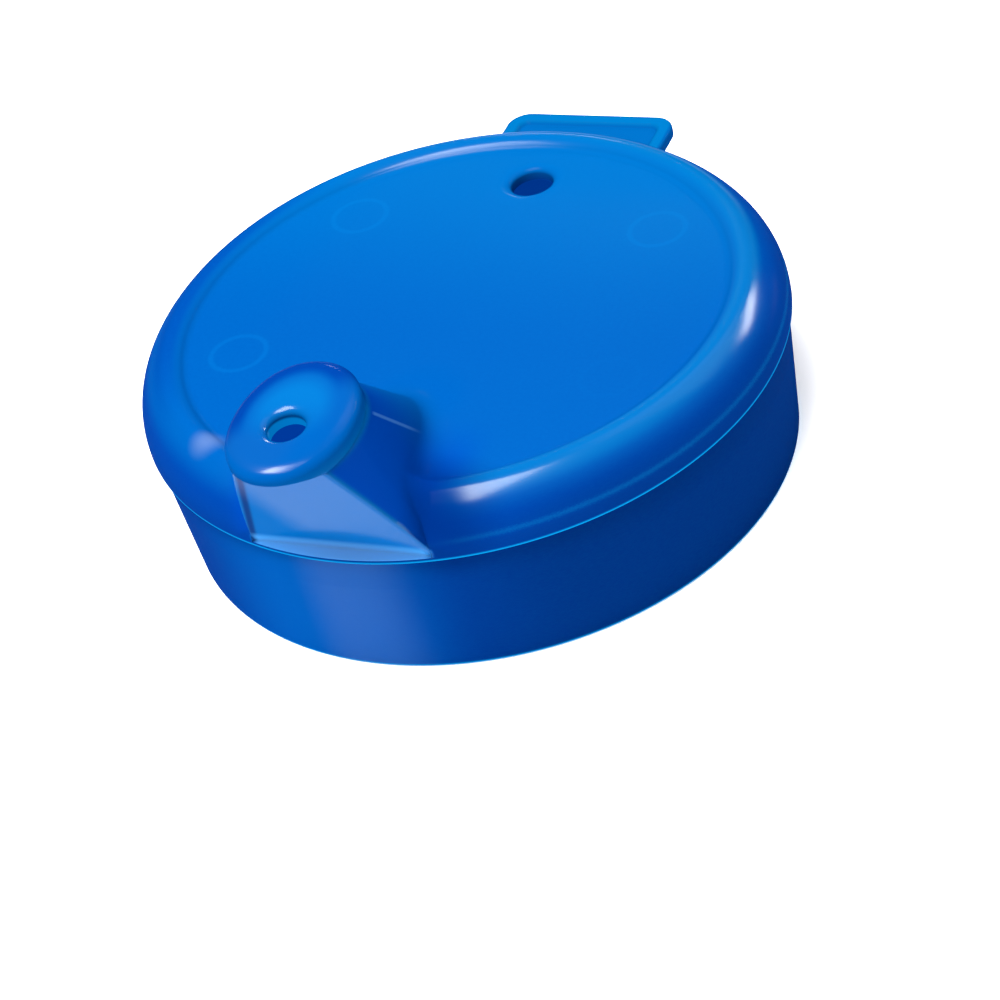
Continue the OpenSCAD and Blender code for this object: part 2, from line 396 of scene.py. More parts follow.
def meeting(above):
    """The share of the height at which each column of signed heights last turns negative going down."""
    below = above < 0
    low = COLUMN_STEPS - np.argmax(below[::-1], 0)
    low = np.where(below.any(0), np.minimum(low, COLUMN_STEPS - 1), 0)
    index = np.arange(above.shape[1])
    a, b = above[low, index], above[low + 1, index]
    part = np.where(below.any(0), np.clip(-a / (b - a), 0, 1), 0)
    return (low + part) / COLUMN_STEPS


is_face = np.arange(SIDE + FRONT) > SIDE
outer_r = np.hypot(outer_column[..., 0], outer_column[..., 1])
TOUCH = 1e-6
base = np.where(is_face, LIP_H, skin_height(outer_r))
foot_share = meeting(outer_column[..., 2] - base - TOUCH)
foot = at_share(outer_column, foot_share[None])[0]

inner_r = np.hypot(inner_column[..., 0], inner_column[..., 1])
in_cave = np.maximum(inner_r - CAVE_R, inner_column[..., 2] - cave_height(np.minimum(inner_r, CAVE_R)))
inner_share = meeting(in_cave)
inner_foot = at_share(inner_column, inner_share[None])[0]


def fillet_edge():
    """Where the fillet round the spout's foot runs out: across the flanks, outwards at the corners."""
    plan = foot[:, :2]
    tangent = np.roll(plan, -1, 0) - np.roll(plan, 1, 0)
    across = unit(np.stack([tangent[:, 1], -tangent[:, 0]], 1))
    outward = unit(plan)
    step = np.linalg.norm(np.roll(plan, -1, 0) - plan, axis=1)
    run = np.concatenate([[0], np.cumsum(step[:SIDE])])
    run = np.minimum(run, run[-1] - run)
    side = np.arange(SIDE + 1)
    turn = np.clip(run / BLEND_TURN, 0, 1)[:, None]
    across[side] = unit(outward[side] * (1 - turn) + across[side] * turn)
    across[SIDE + 1:] = [0, -1]
    reach = np.interp(plan[:, 1], BLEND_CHANGE, [SIDE_BLEND, BACK_BLEND])
    reach[side] = np.minimum(reach[side], BLEND_START + run * BLEND_GROWTH)
    room = np.sqrt(LIP_R ** 2 - plan[:, 0] ** 2) + plan[:, 1]
    reach[SIDE + 1:] = np.minimum(FACE_BLEND, room[SIDE + 1:] * LIP_ROOM)
    return plan + across * reach[:, None], reach


edge_plan, blend = fillet_edge()
edge_r = np.hypot(edge_plan[:, 0], edge_plan[:, 1])
edge_top = np.column_stack([edge_plan, np.where(is_face, LIP_H, skin_height(edge_r))])
edge_low = np.column_stack([edge_plan, np.where(edge_r < CAVE_R, cave_height(edge_r), LIP_H - LIP_COVER)])


def bezier(start, middle, end, steps):
    share = np.linspace(0, 1, steps + 1)[:, None, None]
    return start * (1 - share) ** 2 + middle * 2 * share * (1 - share) + end * share ** 2


FLARE_ROWS, WALL_ROWS, FILLET_ROWS, UNDER_ROWS, PASSAGE_ROWS = 4, 27, 9, 6, 15
WALL_LEAST = 0.02
CAVE_SLACK = 0.01


def spout_outside():
    """Rows of points from the neck under the mouthpiece down to the edge of the fillet on the lid."""
    length = np.linalg.norm(outer_column[-1] - outer_column[0], axis=1)
    neck = outer_column[-1]
    out = unit(neck - np.array([0, neck[:, 1].mean(), neck[:, 2].mean()])) * [1, 1, 0]
    below_neck = 1 - 2 * NECK_FLARE / length
    under_neck = at_share(outer_column, below_neck[None])[0]
    flare = bezier(neck + unit(out) * NECK_FLARE, neck, under_neck, FLARE_ROWS)
    fillet_share = np.minimum(foot_share + blend / length, below_neck - WALL_LEAST)
    down = np.linspace(0, 1, WALL_ROWS)[1:, None]
    wall = at_share(outer_column, below_neck * (1 - down) + fillet_share * down)
    fillet = bezier(wall[-1], foot, edge_top, FILLET_ROWS)
    return np.concatenate([flare, wall, fillet[1:]])


def spout_inside():
    """Rows from under the fillet's edge to the foot of the passage and up to the mouthpiece."""
    share = np.linspace(0, 1, UNDER_ROWS)[:, None, None]
    under = edge_low * (1 - share) + inner_foot * share
    r = np.hypot(under[..., 0], under[..., 1])
    under[..., 2] = np.where(r < CAVE_R - CAVE_SLACK, cave_height(r), LIP_H - LIP_COVER)
    under[-1] = inner_foot
    up = np.linspace(0, 1, PASSAGE_ROWS)[1:, None]
    return under, at_share(inner_column, inner_share * (1 - up) + up)


def spout_bands():
    outside = spout_outside()
    normals = grid_normals(outside)
    normals[-1] = np.where(is_face[:, None], AROUND, skin_normal(edge_top))
    under, passage = spout_inside()
    passage = np.concatenate([under[-1:], passage])
    return [
        (outside, normals),
        (np.stack([edge_top, edge_low]), None),
        (under, None),
        (passage, grid_normals(passage)),
        (np.stack([passage[-1], outside[0]]), None),
    ]


def part_of_ring(bands, first, last):
    """The bands between two columns of the ring, with the loop of points that closes each end."""
    pick = np.arange(first, last + 1) % bands[0][0].shape[1]
    cut = [(p[:, pick], None if n is None else n[:, pick]) for p, n in bands]
    loop = np.concatenate([p[:-1] for p, _ in cut])
    return cut, [loop[::-1, 0], loop[:, -1]]


# ---------------------------------------------------------------- the pieces

def full_turn(profile, steps):
    return np.tile(np.linspace(0, 2 * math.pi, steps + 1), (len(profile), 1))


def ring_piece(name, profiles, steps=288, centre=(0, 0, 0)):
    """A full ring from smooth stretches of profile that meet at sharp corners."""
    return build(name, [turned(p, full_turn(p, steps)) for p in profiles], shift=centre)


SKIRT_EASE, FOOT_EASE, INNER_EASE = 0.3, 0.03, 0.05
FOOT_STEPS = 6


def plug_skirt():
    low_r = BAND_R - SKIRT_TAPER
    outside = np.vstack([
        line((BAND_R, 0), (BAND_R, -BAND_H), 2),
        line((BAND_R, -BAND_H - SKIRT_EASE), (low_r + FOOT_EASE, FOOT_Z + FOOT_ROUND), 4),
        arc((low_r - FOOT_ROUND, FOOT_Z + FOOT_ROUND), (FOOT_ROUND, FOOT_ROUND), 0, -90, FOOT_STEPS),
        arc((CAVE_R + FOOT_ROUND, FOOT_Z + FOOT_ROUND), (FOOT_ROUND, FOOT_ROUND), -90, -180, FOOT_STEPS),
        line((CAVE_R, FOOT_Z + FOOT_ROUND + INNER_EASE), (CAVE_R, 0), 4),
    ])
    return ring_piece("skirt", [outside, line((CAVE_R, 0), (BAND_R, 0))])


def lip_flange():
    corner = 0.15
    edge = np.vstack([
        line((LIP_R, LIP_H), (LIP_R, corner)),
        arc((LIP_R - corner, corner), (corner, corner), 0, -90, 4),
    ])
    return ring_piece("lip", [
        edge, line((LIP_R - corner, 0), (CAVE_R, 0)), line((CAVE_R, 0), (CAVE_R, LIP_H)),
        line((CAVE_R, LIP_H), (LIP_R, LIP_H)),
    ])


def gap_turns(r):
    """The turns at which a circle of radius r leaves and meets the edge of the spout's fillet."""
    half = edge_plan[:SIDE // 2 + 1]
    radius = edge_r[:SIDE // 2 + 1]
    turn = np.arctan2(half[:, 1], half[:, 0])
    return np.interp(-r, -radius, turn)


RIM_STEPS = 380


def rim_turns(r):
    start = gap_turns(np.asarray(r))[:, None]
    end = math.pi - start
    return start + (end - start) * np.linspace(0, 1, RIM_STEPS + 1)[None]


def rim_piece(name, profiles):
    """A ring with a gap for the spout, closed at both ends of the gap."""
    bands = [turned(p, rim_turns(p[:, 0])) for p in profiles]
    loop = np.concatenate([p[:-1] for p, _ in bands])
    return build(name, bands, [loop[::-1, 0], loop[:, -1]])


def rim_crest():
    join = shoulder_skin[0, :2]
    inner = (join[0], cave_height(join[0]))
    return rim_piece("crest", [
        np.vstack([line((PANEL_R, PANEL_TOP), (crest_skin[0, 0], PANEL_TOP)), crest_skin]),
        line(join, inner),
        line(inner, (PANEL_R, PANEL_BOT)),
        line((PANEL_R, PANEL_BOT), (PANEL_R, PANEL_TOP)),
    ])


def rim_shoulder():
    join = shoulder_skin[0, :2]
    last = line((join[0], cave_height(join[0])), join)[:1]
    ceiling = np.vstack([cave_shoulder[cave_shoulder[:, 0] > join[0]], last])
    return rim_piece("shoulder", [
        shoulder_skin,
        line((LIP_R, LIP_H), (CAVE_R, LIP_H)),
        line((CAVE_R, LIP_H), cave_shoulder[0, :2]),
        ceiling,
        line(ceiling[-1, :2], join),
    ])


def circle(centre, radius, steps, height):
    turn = np.linspace(0, 2 * math.pi, steps, endpoint=False)
    x, y = centre[0] + radius * np.cos(turn), centre[1] + radius * np.sin(turn)
    return np.stack([x, y, height + 0 * turn], 1)


VENT_STEPS = 96
VENT_COLLAR = node_box("vent_collar")[1][0]
VENT_FLAT = 0.6
VENT_DIP_SHARE = 0.45
VENT_EASE = 0.05


def from_lowest(corners):
    """A face's corners in the same turn, starting at the lowest number."""
    start = corners.index(min(corners))
    return corners[start:] + corners[:start]


def top_panel():
    """The flat plate inside the rim, cut away round the spout and round the vent."""
    inside = np.flatnonzero(edge_r[:SIDE + 1] < PANEL_R)
    turns = rim_turns([PANEL_R])[0]
    rim = PANEL_R * np.stack([np.cos(turns), np.sin(turns)], 1)
    outline = np.vstack([rim, edge_plan[inside[::-1]]])
    hole = circle(vent_at, VENT_COLLAR, VENT_STEPS, 0)[:, :2]
    mesh = bmesh.new()
    rings = [[mesh.verts.new((x * MM, y * MM, PANEL_TOP * MM)) for x, y in loop] for loop in (outline, hole)]
    edges = [mesh.edges.new((ring[k - 1], ring[k])) for ring in rings for k in range(len(ring))]
    bmesh.ops.triangle_fill(mesh, use_beauty=True, edges=edges)
    top = list(mesh.faces)
    sunk = bmesh.ops.extrude_face_region(mesh, geom=top, use_keep_orig=True)
    low = [v for v in sunk["geom"] if isinstance(v, bmesh.types.BMVert)]
    bmesh.ops.translate(mesh, verts=low, vec=(0, 0, -WALL * MM))
    bmesh.ops.recalc_face_normals(mesh, faces=mesh.faces)
    mesh.verts.index_update()
    points = [v.co.copy() for v in mesh.verts]
    # Sorted, because the fill gives its faces in another order on each run
    faces = sorted(from_lowest([v.index for v in face.verts]) for face in mesh.faces)
    mesh.free()
    data = bpy.data.meshes.new("panel")
    data.from_pydata(points, [], faces)
    piece = bpy.data.objects.new("panel", data)
    bpy.context.scene.collection.objects.link(piece)
    return piece


def vent_collar():
    width = VENT_COLLAR - vent_r - VENT_FLAT
    dip = WALL * VENT_DIP_SHARE
    skin_part = np.vstack([
        line((vent_r, 0.0), (vent_r, WALL - dip), 2),
        arc((vent_r + width, WALL - dip), (width, dip), 180, 90, 10),
        line((vent_r + width + VENT_EASE, WALL), (VENT_COLLAR, WALL)),
    ])
    return ring_piece("vent", [
        skin_part, line((VENT_COLLAR, WALL), (VENT_COLLAR, 0)), line((VENT_COLLAR, 0), (vent_r, 0)),
    ], VENT_STEPS, (vent_at[0], vent_at[1], PANEL_BOT))


MOUTH_STEPS = 192
HOLE_ROWS, DISH_ROWS, FACE_ROWS, ROLL_ROWS, BOTTOM_ROWS = 3, 12, 9, 15, 9


def mouth_ring(inset, height):
    turn = np.linspace(0, 2 * math.pi, MOUTH_STEPS, endpoint=False)
    ring = oval(MOUTH_HALF - inset, MOUTH_LONG - inset, MOUTH_LONG - inset, MOUTH_SQUARE, turn)
    ring[:, 2] += height
    return ring


def drink_ring(radius, height):
    return circle((0, -DRINK_FORWARD), radius, MOUTH_STEPS, height)


def mouth_outside():
    """Rows from the bottom of the drinking hole over the face and the rolled edge to the underside."""
    floor_low, dish_w, dish_h = MOUTH_T - MOUTH_FLOOR, *DRINK_DISH
    hole = [drink_ring(drink_r, h) for h in np.linspace(floor_low, MOUTH_T - dish_h, HOLE_ROWS)]
    dish = [drink_ring(drink_r + dish_w * (1 - math.cos(t)), MOUTH_T - dish_h * (1 - math.sin(t)))
            for t in np.radians(np.linspace(0, 90, DISH_ROWS))[1:]]
    flat_ring = drink_ring(drink_r + dish_w + DRINK_FLAT, MOUTH_T)
    roll_w, roll_h = MOUTH_ROLL
    face_edge = mouth_ring(roll_w, MOUTH_T)
    face = [flat_ring * (1 - s) + face_edge * s for s in np.linspace(0, 1, FACE_ROWS)]
    roll = [mouth_ring(roll_w * (1 - math.sin(t)), MOUTH_T - roll_h * (1 - math.cos(t)))
            for t in np.radians(np.linspace(0, 90, ROLL_ROWS))[1:]]
    ahead = -np.sin(np.linspace(0, 2 * math.pi, MOUTH_STEPS, endpoint=False))
    front = np.clip((ahead - MOUTH_UNDER_FROM) / (1 - MOUTH_UNDER_FROM), 0, 1)
    front = front * front * (3 - 2 * front)
    under_w, under_h = [MOUTH_UNDER + more * front for more in MOUTH_UNDER_FRONT]
    under = [mouth_ring(under_w * (1 - math.cos(t)), under_h * (1 - math.sin(t)))
             for t in np.radians(np.linspace(0, 90, BOTTOM_ROWS))]
    rows = hole + dish + face + roll + under
    return on_mouth(np.stack(rows)), len(hole) + len(dish)


def mouth_inner():
    """The recess under the mouthpiece that carries the spout's passage up to the floor."""
    turn = np.linspace(0, 2 * math.pi, MOUTH_STEPS, endpoint=False)
    half, long = MOUTH_HALF - NECK_IN - WALL, MOUTH_LONG - NECK_IN - WALL
    return oval(half, long, long - WALL, MOUTH_SQUARE, turn)


def drink_collar(outside, seam):
    rows, normals = outside[:seam + 1], grid_normals(outside)[:seam + 1]
    radius = drink_r + DRINK_DISH[0] + DRINK_FLAT
    low = on_mouth(drink_ring(radius, MOUTH_T - MOUTH_FLOOR))
    return build("drinking_hole", [
        (close_ring(rows), close_ring(normals)),
        flat_band(np.stack([rows[-1], low])),
        flat_band(np.stack([low, rows[0]])),
    ])


def spout_mouthpiece(outside, seam):
    rows, normals = outside[seam:], grid_normals(outside)[seam:]
    inner = mouth_inner()
    low, high = on_mouth(inner), on_mouth(inner + [0, 0, MOUTH_T - MOUTH_FLOOR])
    hole = on_mouth(drink_ring(drink_r + DRINK_DISH[0] + DRINK_FLAT, MOUTH_T - MOUTH_FLOOR))
    return build("mouthpiece", [
        (close_ring(rows), close_ring(normals)),
        flat_band(np.stack([rows[-1], low])),
        flat_band(np.stack([low, high])),
        flat_band(np.stack([high, hole])),
        flat_band(np.stack([hole, rows[0]])),
    ])


TAB_CORNER = 2.6
TAB_ROOT_IN = 2.1
TAB_ROOT = LIP_R - TAB_ROOT_IN
TAB_GAP = 0.05
TAB_FOOT = 0.3
CORNER_SHARE = 0.8
SIDE_POINTS, CORNER_POINTS, END_POINTS = 8, 13, 6
BEAD_ROLL = 0.42
BEAD_INNER = ((2.0, "low", 0.0), (1.85, "low", 0.05), (1.65, "top", -0.12),
              (1.4, "top", -0.02), (1.2, "top", 0.0))


def tab_path(inset):
    """The tab's free outline from its right root round the two corners to its left root."""
    half, end = tab_high[0] - inset, tab_high[1] - inset
    radius = TAB_CORNER - inset * CORNER_SHARE
    right = [(half, y) for y in np.linspace(TAB_ROOT, end - radius, SIDE_POINTS)[:-1]]
    turn = np.radians(np.linspace(0, 90, CORNER_POINTS))
    corner = [(half - radius + radius * math.cos(t), end - radius + radius * math.sin(t)) for t in turn]
    edge = [(x, end) for x in np.linspace(half - radius, 0, END_POINTS)[1:]]
    quarter = np.array(right + corner + edge)
    return np.vstack([quarter, quarter[-2::-1] * [-1, 1]])


def tab_rows(steps):
    """A grid along the outline from pairs of inset and height."""
    count = len(tab_path(0))
    return np.stack([np.column_stack([tab_path(inset), np.full(count, height)]) for inset, height in steps])


def quarter(inset, height, size, start, end, steps=5):
    turns = np.radians(np.linspace(start, end, steps))
    return [(inset - size * math.cos(t), height + size * math.sin(t)) for t in turns]


def pull_tab():
    low, top = tab_low[2] + TAB_GAP, tab_high[2]
    foot_row = quarter(TAB_FOOT, low + TAB_FOOT, TAB_FOOT, 0, -90)[1:]
    wall = tab_rows([(0, top), (0, low + TAB_FOOT)] + foot_row)
    root = np.stack([wall[:, -1], wall[:, 0]], 1)
    return build("tab", [smooth_band(wall, ring=False), flat_band(root, ring=False)],
                 [wall[0], wall[-1][::-1]])


def tab_grip_bead():
    level = {"low": bead_low[2], "top": bead_high[2]}
    steps = [(inset, level[name] + rise) for inset, name, rise in BEAD_INNER]
    over = quarter(BEAD_ROLL, level["top"] - BEAD_ROLL, BEAD_ROLL, 90, 0)
    grid = tab_rows(steps + over + [(0, level["low"])])
    under = np.stack([grid[-1], grid[0]])
    loop = np.concatenate([grid[:-1], under[:-1]])
    return build("grip_bead", [smooth_band(grid, ring=False), flat_band(under, ring=False)],
                 [loop[::-1, 0], loop[:, -1]])


# ---------------------------------------------------------------- materials

class Wire:
    """A socket of a shader tree that can be used in a sum."""

    def __init__(self, shader, socket):
        self.shader, self.socket = shader, socket

    def _sum(self, operation, first, second=None):
        return self.shader.add("ShaderNodeMath", {"operation": operation}, {0: first, 1: second})

    def __add__(self, other):
        return self._sum("ADD", self, other)

    def __radd__(self, other):
        return self._sum("ADD", other, self)

    def __sub__(self, other):
        return self._sum("SUBTRACT", self, other)

    def __rsub__(self, other):
        return self._sum("SUBTRACT", other, self)

    def __mul__(self, other):
        return self._sum("MULTIPLY", self, other)

    def __rmul__(self, other):
        return self._sum("MULTIPLY", other, self)

    def __truediv__(self, other):
        return self._sum("DIVIDE", self, other)

    def root(self):
        return self._sum("SQRT", self)

    def size(self):
        return self._sum("ABSOLUTE", self)

    def past(self, band):
        """0 before the band, 1 beyond it, and a soft step from one to the other inside it."""
        return self.shader.add("ShaderNodeMapRange", {"interpolation_type": "SMOOTHSTEP"},
                               {"Value": self, "From Min": band[0], "From Max": band[1]})

    def before(self, band):
        return 1 - self.past(band)


class Shader:
    """The node tree of one material."""

    def __init__(self, name):
        self.material = bpy.data.materials.new(name)
        self.material.use_nodes = True
        self.tree = self.material.node_tree
        self.surface = self.tree.nodes["Principled BSDF"]

    def add(self, kind, settings=None, sockets=None, output=0):
        node = self.tree.nodes.new(kind)
        for key, value in (settings or {}).items():
            setattr(node, key, value)
        for key, value in (sockets or {}).items():
            if value is not None:
                self.feed(node.inputs[key], value)
        return Wire(self, node.outputs[output])

    def feed(self, socket, value):
        if isinstance(value, Wire):
            self.tree.links.new(value.socket, socket)
        else:
            socket.default_value = value

    def mix(self, share, first, second):
        return self.add("ShaderNodeMix", {"data_type": "RGBA"}, {0: share, 6: first, 7: second}, 2)

    def grain(self, scale, detail=3.0):
        return self.add("ShaderNodeTexNoise", {}, {"Scale": scale, "Detail": detail})

    def place_mm(self):
        where = self.add("ShaderNodeTexCoord", {}, {}, 3)
        parts = self.add("ShaderNodeSeparateXYZ", {}, {0: where})
        return [Wire(self, parts.socket.node.outputs[k]) / MM for k in range(3)]

    def distance_from_axis(self, x, y, z):
        """Distance from the drinking hole's axis."""
        across = (y - drink_at[1]) * math.cos(MOUTH_TILT) + (z - drink_at[2]) * math.sin(MOUTH_TILT)
        return (x * x + across * across).root()

    def distance(self, x, y, z, point):
        x, y, z = x - point[0], y - point[1], z - point[2]
        return (x * x + y * y + z * z).root()

    def ejector_ring(self, x, y, turn):
        """A faint ring where an ejector pin met the moulding, drawn as a painted light line."""
        x, y = x - EJECTOR_OUT * math.cos(turn), y - EJECTOR_OUT * math.sin(turn)
        return ((x * x + y * y).root() - EJECTOR_R).size().before(EJECTOR_LINE)

    def finish(self, **sockets):
        for key, value in sockets.items():
            self.feed(self.surface.inputs[key.replace("_", " ")], value)
        return self.material


LAMP_SHARE = 0.5


def rgb(*channels):
    """An 8-bit display colour as linear values, scaled down for the strength of the studio's lamps."""
    linear = [(c / 255 / 12.92) if c < 10 else ((c / 255 + 0.055) / 1.055) ** 2.4 for c in channels]
    return tuple(c * LAMP_SHARE for c in linear) + (1.0,)


def either(first, second):
    return 1 - (1 - first) * (1 - second)


# The moulding's blue in lit and shaded copies: lighter tones are painted light, darker ones painted shade,
# and the glows are painted light through the plastic
TOP_LIT_TONE = rgb(0, 92, 180)
WALL_SHADE_TONE = rgb(0, 61, 163)
FAR_LIT_TONE = rgb(0, 113, 193)
FLANK_SHADE_TONE = rgb(0, 74, 186)
MOUTH_LIT_TONE = rgb(0, 92, 178)
DEEP_SHADE_TONE = rgb(0, 40, 120)
FRONT_LIT_TONE = rgb(0, 98, 200)
FACE_LIT_TONE = rgb(0, 122, 216)
RIM_SHADE_TONE = rgb(0, 64, 158)
CREST_LIT_TONE = rgb(0, 113, 188)
TAB_LIT_TONE = rgb(0, 115, 187)
# A paler blue: painted light on thin edges, the ledge and the ejector rings; also mixed in as random grain
# and along the wavy line on the shoulder
EDGE_TONE = rgb(10, 140, 220)
RIDGE_HIGHLIGHT_TONE = rgb(90, 160, 235)
SPOT_HIGHLIGHT_TONE = rgb(190, 205, 235)
NO_GLOW = (0, 0, 0, 1)
EDGE_GLOW = (0, 0.17, 0.33, 1)
CAVE_GLOW = (0, 0.025, 0.17, 1)
WELL_GLOW = (0, 0.15, 0.40, 1)
LEDGE_GLOW = (0.07, 0.18, 0.38, 1)
PASSAGE_GLOW = (0, 0.04, 0.30, 1)

# Bands, in millimetres: a change of look begins at the first value and is complete at the second.
# Heights are above the ledge, radii are from the lid's axis, and the rest is along x or y.
TOP_RISE, CREST_RISE, ABOVE_LIP, BELOW_LIP = (3.6, 6.2), (5.0, 6.2), (0.2, 0.5), (-0.6, 0.1)
VENT_SIDE = (-8.0, 30.0)
CREST_OUT, CREST_RIGHT, CREST_LEFT = (31.4, 32.4), (-4.0, 12.0), (-33.0, -22.0)
WALL_RIGHT = (14.0, 30.0)
LIMB_OUT, LIMB_BACK = (33.6, 34.8), (-2.0, 8.0)
SKIRT_RIGHT, SKIRT_LEFT, SKIRT_MIDDLE = (4.0, 24.0), (-24.0, -8.0), (0.0, 13.0)
PAST_LIP, TAB_SIDE = (36.95, 37.4), (10.0, 20.0)
BEAD_RISE, BEAD_SIDES, BEAD_END = (1.15, 1.5), (10.1, 10.6), (43.8, 44.3)
RIPPLE_AT, RIPPLE_SWING, RIPPLE_LINE, RIPPLE_RIGHT = 1.5, 1.4, (0.05, 0.35), (6.0, 14.0)
EJECTOR_R, EJECTOR_OUT, EJECTOR_LINE = 3.2, 24.7, (0.1, 0.5)
EJECTOR_MARKS = ((math.radians(-25), 0.02), (math.radians(41), 0.15), (math.radians(139), 0.15),
                 (math.radians(205), 0.15))
GRAIN_SCALE, RIPPLE_SCALE = 130.0, 420.0

# How much of a colour each of those changes mixes in
VENT_SHARE, CREST_SHARE, CREST_DARK, WALL_DARK, LIMB_DARK = 0.8, 0.8, 0.7, 0.3, 0.8
SKIRT_DARK, PLATE_DARK, BEAD_DARK = 0.7, 0.35, 0.5
RIPPLE_SHARE, GRAIN_SHARE = 0.3, 0.12


def lid_tone(shader, place):
    """Painted light on top and towards the vent, painted shade at the left of the crest and down the wall.
    """
    x, y, z, r = place
    high = z.past(TOP_RISE)
    # Painted light on the top, painted shade down the wall
    tone = shader.mix(high, WALL_SHADE_TONE, TOP_LIT_TONE)
    # Painted light towards the vent
    tone = shader.mix(y.past(VENT_SIDE) * high * VENT_SHARE, tone, FAR_LIT_TONE)
    crest = r.past(CREST_OUT) * z.past(CREST_RISE)
    # Painted light on the crest at the right
    tone = shader.mix(crest * x.past(CREST_RIGHT) * CREST_SHARE, tone, CREST_LIT_TONE)
    # Painted shade on the crest at the left
    tone = shader.mix(crest * x.before(CREST_LEFT) * CREST_DARK, tone, WALL_SHADE_TONE)
    # Painted shade low on the wall at the right
    tone = shader.mix((1 - high) * z.past(ABOVE_LIP) * x.past(WALL_RIGHT) * WALL_DARK, tone, DEEP_SHADE_TONE)
    # Painted shade on the rim's outer slope at the back
    limb = r.past(LIMB_OUT) * y.past(LIMB_BACK) * z.past(ABOVE_LIP)
    tone = shader.mix(limb * LIMB_DARK, tone, WALL_SHADE_TONE)
    # Real ejector-pin rings on the moulding, drawn as painted light lines on the top
    for turn, share in EJECTOR_MARKS:
        tone = shader.mix(shader.ejector_ring(x, y, turn) * high * share, tone, EDGE_TONE)
    return tone


def skirt_and_tab_tone(shader, place, tone):
    """Painted shade at the right of the skirt, painted light at its front, and the tab painted lighter with
    painted shade on its plate and round its bead.
    """
    x, y, z, r = place
    side = z.before(BELOW_LIP)
    # Painted shade on the right of the skirt
    tone = shader.mix(side * x.past(SKIRT_RIGHT) * SKIRT_DARK, tone, DEEP_SHADE_TONE)
    # Painted light on the front of the skirt
    tone = shader.mix(side * x.past(SKIRT_LEFT) * x.before(SKIRT_MIDDLE), tone, FRONT_LIT_TONE)
    tab = r.past(PAST_LIP) * y.past(TAB_SIDE)
    # Painted light on the tab
    tone = shader.mix(tab, tone, TAB_LIT_TONE)
    # Painted shade on the tab's plate inside the bead and along the bead's outer edge
    tone = shader.mix(tab * z.before(BEAD_RISE) * PLATE_DARK, tone, WALL_SHADE_TONE)
    outline = either(x.size().past(BEAD_SIDES), y.past(BEAD_END))
    return shader.mix(tab * outline * BEAD_DARK, tone, WALL_SHADE_TONE)


def skin_tone(shader, place, noise):
    x, y, z, r = place
    tone = skirt_and_tab_tone(shader, place, lid_tone(shader, place))
    wave = (z - RIPPLE_AT - shader.grain(RIPPLE_SCALE, 1.0) * RIPPLE_SWING).size()
    tone = shader.mix(wave.before(RIPPLE_LINE) * x.past(RIPPLE_RIGHT) * RIPPLE_SHARE, tone, EDGE_TONE)
    return shader.mix(noise * GRAIN_SHARE, tone, EDGE_TONE)


# Bands of the spout
FACE_SKIN, FACE_FOOT, FACE_TOP, FACE_SIDES = (0.1, 0.4), (0.5, 0.6), (16.6, 17.3), (10.4, 10.9)
FLANK_SKIN, FLANK_FOOT, FLANK_TOP = (0.3, 0.8), (0.5, 1.2), (16.2, 17.3)
FLANK_BACK, FLANK_IN, FLANK_OUT = (-31.0, -18.0), (1.0, 5.0), (9.5, 14.5)
MOUTH_OUT, MOUTH_RISE, MOUTH_BLUE = 36.9, (17.0, 17.6), (16.8, 18.6)
# The hollow beside the spout that gets painted shade
POCKET_AT, POCKET_SIZE, POCKET_SHARE = (11.0, -31.5, 3.5), (1.5, 8.0), 0.75
DARK_SLANT, DARK_SIDE, DARK_RIM = 0.9, (-1.0, 4.0), (0.62, 0.8)
LIGHT_SLANT, LIGHT_SIDE, LIGHT_RIM = 0.2, (-42.0, -34.0), (0.4, 0.75)
CORNER_FOOT, CORNER_SLANT, CORNER_LINE, CORNER_SHARE_DARK = 10.4, 0.36, (0.1, 0.7), 0.8
RIDGE_AXIS, RIDGE_AT, RIDGE_LINE = (0.256, 0.724, 0.64), 10.88, (0.05, 0.25)
RIDGE_RIGHT, RIDGE_FOOT, RIDGE_TOP, RIDGE_SHARE = (2.0, 3.0), (7.0, 10.5), (15.8, 16.5), 0.45
SPOT_AT, SPOT_SIZE, SPOT_SHARE = (-18.4, -26.7, 6.6), (0.2, 2.8), 0.2
LEDGE_TOP, LEDGE_FOOT, LEDGE_FRONT, LEDGE_SIDES = (1.2, 2.6), (0.5, 0.58), (-35.0, -34.4), (9.5, 10.6)
LIP_TOP, LIP_FOOT, LIP_OUT, SKIRT_FOOT = (0.1, 0.4), (-0.1, 0.05), (36.3, 36.7), (-15.85, -15.45)


